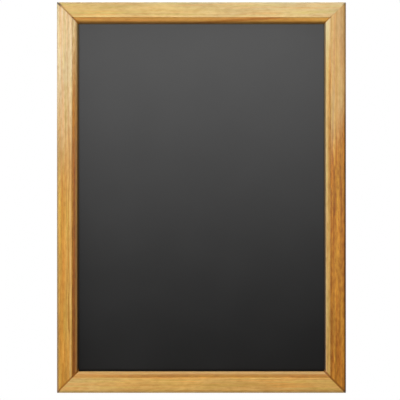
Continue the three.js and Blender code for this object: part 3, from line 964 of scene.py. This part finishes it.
def strapShape():
    half = hanger["strapWidth"] / 2
    tail, bendY, bendZ = hanger["tail"], hanger["bendY"], hanger["bendZ"]
    bend = math.atan2(bendY, bendZ)
    bm = bmesh.new()
    run = [bm.edges.new([bm.verts.new((x, -hanger["bore"], tail)) for x in (-half, half)])]
    run = pull(bm, run, (0, 0, -tail))
    run = curl(bm, run, (0, 0, 0), (1, 0, 0), -(quarter + bend), steps=20)
    run = curl(bm, run, (0, bendY, bendZ), (1, 0, 0), bend - quarter, steps=7)
    pull(bm, run, (0, 0, tail - run[0].verts[0].co.z))
    corners = [v for v in bm.verts if abs(v.co.z - tail) < near]
    bevel(bm, corners, hanger["tailRound"], steps=9, affect="VERTICES")
    seal(bm)
    # drawn on the side that faces the ring, the sheet grows away from it
    top = max(bm.faces, key=lambda face: face.calc_center_median().z)
    if top.normal.z <= 0:
        bmesh.ops.reverse_faces(bm, faces=bm.faces)
    bmesh.ops.solidify(bm, geom=bm.faces[:], thickness=-hanger["sheet"])
    faceOutwards(bm)
    bevel(bm, sharpEdges(bm, 60), hanger["ease"], steps=2)
    hole = rod(screw["hole"], screw["strapHoleDepth"], steps=32)
    cutAway(bm, placed(hole, move(0, 0, screw["z"]) @ turn(quarter, "X")))
    return bm


def ringShape():
    half, corner, bow = hanger["ringHalf"], hanger["ringCorner"], hanger["bowCentre"]
    bm = bmesh.new()
    bmesh.ops.create_circle(bm, segments=16, radius=hanger["wire"], matrix=turn(quarter))
    run = pull(bm, bm.edges[:], (half - corner, 0, 0))
    run = curl(bm, run, (half - corner, 0, -corner), (0, 1, 0), quarter, steps=8)
    run = pull(bm, run, (0, 0, bow + corner))
    run = curl(bm, run, (0, 0, bow), (0, 1, 0), 2 * quarter, steps=32)
    run = pull(bm, run, (0, 0, -corner - bow))
    run = curl(bm, run, (corner - half, 0, -corner), (0, 1, 0), quarter, steps=8)
    pull(bm, run, (half - corner, 0, 0))
    seal(bm, hanger["ringWeld"])
    return bm


def screwShape():
    core, shank = screw["core"], screw["tip"] - screw["length"]
    bm = lathe([(0, -screw["length"]), (core, shank), (core, 0), (screw["head"], 0),
                (screw["head"], screw["side"]), (screw["flat"], screw["height"]), (0, screw["height"])],
               steps=32)
    sideEase, flatEase = screw["rims"]
    roundRim(bm, screw["head"], screw["side"], sideEase, steps=4)
    roundRim(bm, screw["flat"], screw["height"], flatEase, steps=4)
    for turned in (0, quarter):
        slot = block((screw["slot"][0], screw["slotDepth"] + overcut, screw["slot"][1]))
        floor = [v for v in slot.verts if v.co.y < 0]
        bmesh.ops.scale(slot, vec=screw["slotFloor"], verts=floor)
        place = move(0, screw["height"] + (overcut - screw["slotDepth"]) / 2, 0)
        cutAway(bm, placed(slot, place @ turn(turned)))
    # the thread is one ridge wound down the shank
    ridge = bmesh.new()
    start, root = shank + screw["threadFrom"], core - screw["toothRoot"]
    half = screw["toothHalf"]
    corners = ((root, start - half), (screw["crest"], start), (root, start + half))
    tooth = ridge.faces.new([ridge.verts.new((radius, y, 0)) for radius, y in corners])
    turns, stepsPerTurn = screw["turns"], 20
    bmesh.ops.spin(ridge, geom=[tooth] + tooth.edges[:] + tooth.verts[:], cent=(0, 0, 0), axis=(0, 1, 0),
                   dvec=(0, screw["pitch"] / stepsPerTurn, 0), angle=4 * quarter * turns,
                   steps=stepsPerTurn * turns, use_merge=False)
    faceOutwards(ridge)
    addShape(bm, ridge)
    return bm


plating = platedMetal("hangerPlating")
for side, right in (("left", -1), ("right", 1)):
    pivot = move(right * hanger["x"], hanger["y"], hanger["z"])
    seat = pivot @ move(0, screw["y"], screw["z"]) @ turn(screw["turned"] * right)
    for part, shape, place, body in (("Strap", strapShape(), pivot, "board"),
                                     ("Ring", ringShape(), pivot, f"{side}_ring"),
                                     ("Screw", screwShape(), seat, "board")):
        node = f"{side}_hanger_{part.lower()}"
        finishPiece(shape, f"{side}Hanger{part}", node, [plating], place, body)
print("hangers hung")


# Rubber buttons, mm
bumper = {
    "x": 232.5, "y": -5, "z": -538, "radius": 6, "height": 5, "rimRound": 1, "footRound": 0.25,
    "dish": 4.1, "dishSlope": 0.5, "sink": 0.3,
}
rubber = bumperRubber()
for side, right in (("left", -1), ("right", 1)):
    radius, height, dish = bumper["radius"], bumper["height"], bumper["dish"]
    floor = height - bumper["sink"]
    button = lathe([(0, 0), (radius, 0), (radius, height), (dish, height),
                    (dish - bumper["dishSlope"], floor), (0, floor)], steps=40)
    roundRim(button, radius, height, bumper["rimRound"], steps=5)
    roundRim(button, radius, 0, bumper["footRound"], steps=5)
    place = move(right * bumper["x"], bumper["y"], bumper["z"])
    finishPiece(button, f"{side}WallBumper", f"{side}_wall_bumper", [rubber], place)
print("bumpers stuck on")

# Studio: a graded softbox in front, a key from the left, rims, a low fill, two boxes behind
studio = {
    "floor": {"height": -1.4, "radius": 4.6, "fade": (1.2, 4.3), "colour": (0.78, 0.77, 0.76), "pale": 0.85,
              "share": 0.72, "dusk": (-350, 350)},    # dusk: mm in depth, dark to pale for gloss
    "lights": {
        "gradedBox": {"size": (2.6, 2), "radiance": 3.25, "at": (0, -1.07, -0.05), "to": (0, 0, -0.05)},
        "leftKey": {"size": (1.4, 1.6), "radiance": 1.7, "at": (-1.65, -0.85, -0.5), "to": (0, 0, -0.45)},
        "leftRim": {"size": (0.5, 1.3), "radiance": 3, "at": (-1.3, -0.22, -0.25), "to": (0.2, -0.02, -0.3)},
        "topRim": {"size": (1.3, 0.5), "radiance": 3, "at": (-0.1, -0.22, 1), "to": (0, -0.02, -0.5)},
        "lowFill": {"size": (2, 0.6), "radiance": 1, "at": (-0.2, -0.9, -1.3), "to": (0, 0, -0.55)},
        "backBox": {"size": (1.5, 0.9), "radiance": 3.2, "at": (0.2, 0.9, 0.6), "to": (0, 0, -0.3)},
        "backFill": {"size": (0.8, 1), "radiance": 1.3, "at": (0.95, 0.7, -0.2), "to": (0.1, 0, -0.26)},
    },
    "noGloss": ("lowFill", "leftKey", "backFill"),
    "graded": {"gradedBox": 1.38},         # dark at its lower edge, and how steeply it brightens
    "ambient": (-0.8, 0.8, 0.25, 0.1),     # from the left to the right
    "room": (-0.35, 0.35, 0.03, 1),        # what gloss sees, from the dark front to the pale back
}


def addLights():
    for name, lamp in studio["lights"].items():
        data = bpy.data.lights.new(name, "AREA")
        data.shape = "RECTANGLE"
        data.size, data.size_y = lamp["size"]
        data.energy = lamp["radiance"] * math.pi * data.size * data.size_y
        light = addObject(name, data)
        light.location = lamp["at"]
        aim = Vector(lamp["to"]) - Vector(lamp["at"])
        light.rotation_euler = aim.to_track_quat("-Z", "Y").to_euler()
        light.visible_camera = False
        light.visible_glossy = name not in studio["noGloss"]
        if name in studio["graded"]:
            spot = axes(source(emptyTree(data), "NewGeometry")["Parametric"])
            share = calc("POWER", spot["Y"], studio["graded"][name])
            glow = addNode("Emission", {"Strength": share})
            addNode("OutputLight", {"Surface": glow.outputs[0]})


def seenBy(tree):
    # whether the ray comes from the camera or through glass, and whether it is a reflection
    rays = source(tree, "LightPath")
    straight = calc("MAXIMUM", rays["Is Camera Ray"], rays["Is Transmission Ray"])
    return straight, rays["Is Glossy Ray"]


def addWorld():
    world = bpy.data.worlds.new("whiteStudio")
    scene.world = world
    tree = emptyTree(world)
    heading = axes(source(tree, "TexCoord")["Generated"])
    straight, reflected = seenBy(tree)
    level = mix(reflected, spread(heading["X"], *studio["ambient"]), spread(heading["Y"], *studio["room"]))
    level = mix(straight, level, grey(1))
    background = addNode("Background", {"Color": level})
    addNode("OutputWorld", {"Surface": background.outputs[0]})


def addFloor():
    floor = studio["floor"]
    bm = bmesh.new()
    bmesh.ops.create_circle(bm, cap_ends=True, segments=96, radius=floor["radius"],
                            matrix=move(0, 0, floor["height"]))
    mesh = toMesh(bm, "studioFloor")
    bm.free()
    material, spot = startMaterial("palePaperFloor")
    tone = shade(noise(spot, 0.01, 2), 0.3, 0.7, 0.97, 1)
    shader = addNode("BsdfPrincipled", {
        "Base Color": multiply(floor["colour"], tone), "Roughness": 0.9, "Specular IOR Level": 0.1,
    })
    # the camera sees it pale and still shaded, and white at its rim; gloss sees it pale behind the board
    reach = vectorCalc("LENGTH", spot)["Value"]
    fade = [edge / mm for edge in floor["fade"]]
    share = spread(reach, *fade, floor["share"], 1)
    pale = spread(reach, *fade, floor["pale"], 1)
    straight, reflected = seenBy(material.node_tree)
    behind = spread(axes(spot)["Y"], *floor["dusk"], studio["room"][2], floor["pale"])
    pale = mix(reflected, pale, behind)
    seen = calc("MAXIMUM", times(straight, share), reflected)
    glow = addNode("Emission", {"Color": pale})
    mixed = addNode("MixShader", {0: seen, 1: shader.outputs["BSDF"], 2: glow.outputs[0]})
    addNode("OutputMaterial", {"Surface": mixed.outputs[0]})
    mesh.materials.append(material)
    piece = addObject("studioFloor", mesh)


addLights()
addWorld()
addFloor()
print("studio lit")
